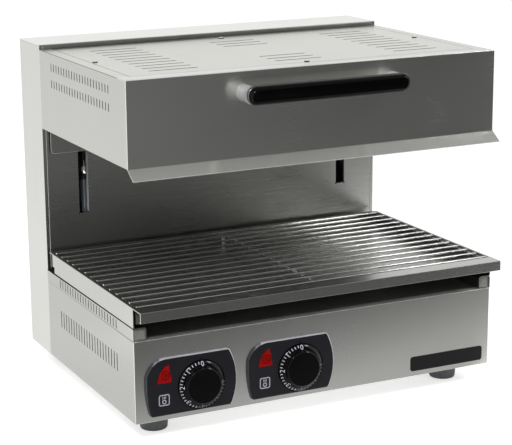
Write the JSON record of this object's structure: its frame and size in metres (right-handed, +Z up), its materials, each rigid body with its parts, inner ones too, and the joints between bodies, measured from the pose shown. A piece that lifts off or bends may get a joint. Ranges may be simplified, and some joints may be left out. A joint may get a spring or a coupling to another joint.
{
  "type": "cheese melter",
  "caption": "Rise-and-fall cheese melter: heated hood that slides on a rear column over a drip pan with a wire grid, and a base with two heat dials.",
  "frame": {"origin": "on the standing surface, under the middle of the object's outer box", "axes": "+Z is up, -Y points out of the front, +X is to the right as seen from the front"},
  "size_m": [0.6, 0.503, 0.531],
  "materials": {
    "casing_steel": "brushed stainless sheet, satin",
    "inner_steel": "plain stainless and galvanised sheet",
    "bright_steel": "polished",
    "guide_steel": "ground and oiled",
    "carriage_metal": "machined",
    "bush_bronze": "sintered bronze, oiled",
    "strut_paint": "semi-gloss grey-blue paint",
    "black_gloss": "moulded, polished",
    "black_bezel": "moulded, fine satin",
    "red_lens": "translucent red, moulded rings",
    "electric_plastic": "moulded, heat resistant",
    "ceramic": "unglazed ceramic",
    "element_sheath": "heat-darkened steel sheath",
    "foot_rubber": "moulded rubber"
  },
  "bodies": {
    "base": {"base_front_panel": "casing_steel", "base_side_left": "casing_steel", "base_side_right": "casing_steel", "base_floor": "inner_steel", "deck_plate": "inner_steel", "runner_left": "casing_steel", "runner_right": "casing_steel", "rubber_feet": "foot_rubber", "foot_screws": "inner_steel", "control_bezel_left": "black_bezel", "control_bezel_right": "black_bezel", "indicator_lenses": "red_lens", "indicator_lamps": "electric_plastic", "energy_regulator_left": "electric_plastic", "energy_regulator_right": "electric_plastic", "terminal_block": "electric_plastic", "cable_gland": "black_gloss", "badge_plate": "black_gloss", "column_side_left": "casing_steel", "column_side_right": "casing_steel", "column_front_panel": "casing_steel", "column_back_cover": "casing_steel", "column_top_cap": "casing_steel", "back_cover_screws": "inner_steel", "guide_rods": "guide_steel", "guide_rod_mounts": "inner_steel", "strut_rod_left": "bright_steel", "strut_rod_right": "bright_steel", "strut_base_brackets": "inner_steel"},
    "hood": {"hood_side_left": "casing_steel", "hood_side_right": "casing_steel", "hood_front_panel": "casing_steel", "hood_top_cover": "casing_steel", "hood_top_screws": "inner_steel", "hood_back_plate": "casing_steel", "reflector": "inner_steel", "heating_element_left": "element_sheath", "heating_element_right": "element_sheath", "element_hangers": "inner_steel", "element_terminals": "ceramic", "handle_posts": "bright_steel", "handle_grip": "black_gloss", "handle_screws": "inner_steel", "lift_arm_left": "inner_steel", "lift_arm_right": "inner_steel", "carriage_block_left": "carriage_metal", "carriage_block_right": "carriage_metal", "carriage_bushes": "bush_bronze", "strut_tube_left": "strut_paint", "strut_tube_right": "strut_paint", "strut_end_fittings": "black_gloss", "strut_lock_nuts": "bright_steel", "arm_bolts": "inner_steel"},
    "knob_left": {"control_knob_left": "black_gloss", "regulator_shaft_left": "bright_steel"},
    "knob_right": {"control_knob_right": "black_gloss", "regulator_shaft_right": "bright_steel"},
    "pan": {"grid_pan": "casing_steel"},
    "grid": {"grid_wires": "bright_steel", "grid_rods": "bright_steel"}
  },
  "joints": [
    {"name": "hood_lift", "type": "slide", "parent": "base", "child": "hood", "axis": [0, 0, 1], "range_m": [-0.105, 0]},
    {"name": "left_heat_knob", "type": "hinge", "parent": "base", "child": "knob_left", "pos_m": [-0.198, -0.2135, 0.0765], "axis": [0, 1, 0], "range_deg": [0, 300]},
    {"name": "right_heat_knob", "type": "hinge", "parent": "base", "child": "knob_right", "pos_m": [-0.0365, -0.2135, 0.0765], "axis": [0, 1, 0], "range_deg": [0, 300]},
    {"name": "pan_slide", "type": "slide", "parent": "base", "child": "pan", "axis": [0, -1, 0], "range_m": [0, 0.3]},
    {"name": "grid_lift", "type": "slide", "parent": "pan", "child": "grid", "axis": [0, 0, 1], "range_m": [0, 0.08]}
  ]
}
